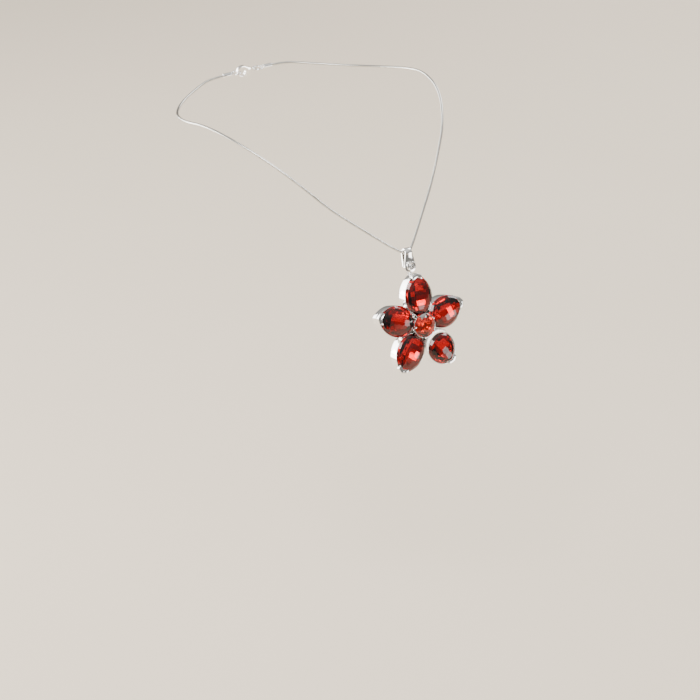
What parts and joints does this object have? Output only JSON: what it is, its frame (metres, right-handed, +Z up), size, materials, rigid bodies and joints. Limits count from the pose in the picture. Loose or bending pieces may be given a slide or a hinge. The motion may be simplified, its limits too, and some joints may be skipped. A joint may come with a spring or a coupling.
{
  "type": "pendant necklace",
  "caption": "Pendant necklace shown as worn: a fine snake chain with a lobster clasp at the nape, a jewelled bail and a flower of faceted red crystals in tall polished settings.",
  "frame": {"origin": "the chain's line at the middle of the clasp, on the nape of the neck", "axes": "+Z up, the wearer faces -Y, +X towards the wearer's left; the pendant lies on a chest that leans back 19 degrees"},
  "size_m": [0.123, 0.1596, 0.1011],
  "materials": {
    "rhodium_metal": "mirror polished rhodium plate",
    "red_crystal": "faceted deep red crystal",
    "clear_crystal": "faceted clear crystal"
  },
  "bodies": {
    "chain": {"snake_chain": "rhodium_metal", "end_cap_left": "rhodium_metal", "end_cap_right": "rhodium_metal"},
    "ring_left": {"jump_ring_left": "rhodium_metal"},
    "clasp": {"clasp_body": "rhodium_metal", "lever_pin": "rhodium_metal", "clasp_spring": "rhodium_metal"},
    "lever": {"clasp_lever": "rhodium_metal"},
    "ring_right": {"jump_ring_right": "rhodium_metal"},
    "bail": {"bail_body": "rhodium_metal", "bail_eye": "rhodium_metal", "bail_bezel": "rhodium_metal", "bail_prongs": "rhodium_metal", "bail_crystal": "clear_crystal"},
    "link": {"link_ring": "rhodium_metal"},
    "flower": {"petal_setting_top": "rhodium_metal", "petal_setting_left": "rhodium_metal", "petal_setting_lower_left": "rhodium_metal", "petal_setting_lower_right": "rhodium_metal", "petal_setting_right": "rhodium_metal", "petal_crystal_top": "red_crystal", "petal_crystal_left": "red_crystal", "petal_crystal_lower_left": "red_crystal", "petal_crystal_lower_right": "red_crystal", "petal_crystal_right": "red_crystal", "tip_claw_top": "rhodium_metal", "tip_claw_left": "rhodium_metal", "tip_claw_lower_left": "rhodium_metal", "tip_claw_lower_right": "rhodium_metal", "tip_claw_right": "rhodium_metal", "centre_cup": "rhodium_metal", "centre_stone": "red_crystal", "centre_prongs": "rhodium_metal", "centre_post": "rhodium_metal", "shoulder_plate": "rhodium_metal", "back_frame": "rhodium_metal", "flower_loop": "rhodium_metal"}
  },
  "joints": [
    {"name": "ring_left_swing", "type": "hinge", "parent": "chain", "child": "ring_left", "pos_m": [0.00743, 0, 0], "axis": [0, 0, 1], "range_deg": [-6, 6]},
    {"name": "clasp_swing", "type": "hinge", "parent": "ring_left", "child": "clasp", "pos_m": [0.00477, 0, 0], "axis": [0, 0, 1], "range_deg": [-6, 6]},
    {"name": "ring_right_swing", "type": "hinge", "parent": "chain", "child": "ring_right", "pos_m": [-0.00743, 0, 0], "axis": [0, 0, 1], "range_deg": [-5, 5]},
    {"name": "lever_press", "type": "hinge", "parent": "clasp", "child": "lever", "pos_m": [-0.00109, 0, -0.00154], "axis": [0, 1, 0], "range_deg": [0, 12], "stiffness_Nm_per_rad": 0.004},
    {"name": "bail_swing", "type": "hinge", "parent": "chain", "child": "bail", "pos_m": [0, -0.13642, -0.04223], "axis": [-1, 0, 0], "range_deg": [0, 110]},
    {"name": "link_swing", "type": "hinge", "parent": "bail", "child": "link", "pos_m": [0, -0.13856, -0.04937], "axis": [-1, 0, 0], "range_deg": [0, 6]},
    {"name": "flower_sway", "type": "hinge", "parent": "link", "child": "flower", "pos_m": [0, -0.13898, -0.0506], "axis": [0, -0.9455, 0.3256], "range_deg": [-20, 20]}
  ],
  "couplings": [
    {"joint": "clasp_swing", "follows": "ring_left_swing", "ratio": -1},
    {"joint": "ring_right_swing", "follows": "ring_left_swing", "ratio": -0.77}
  ]
}
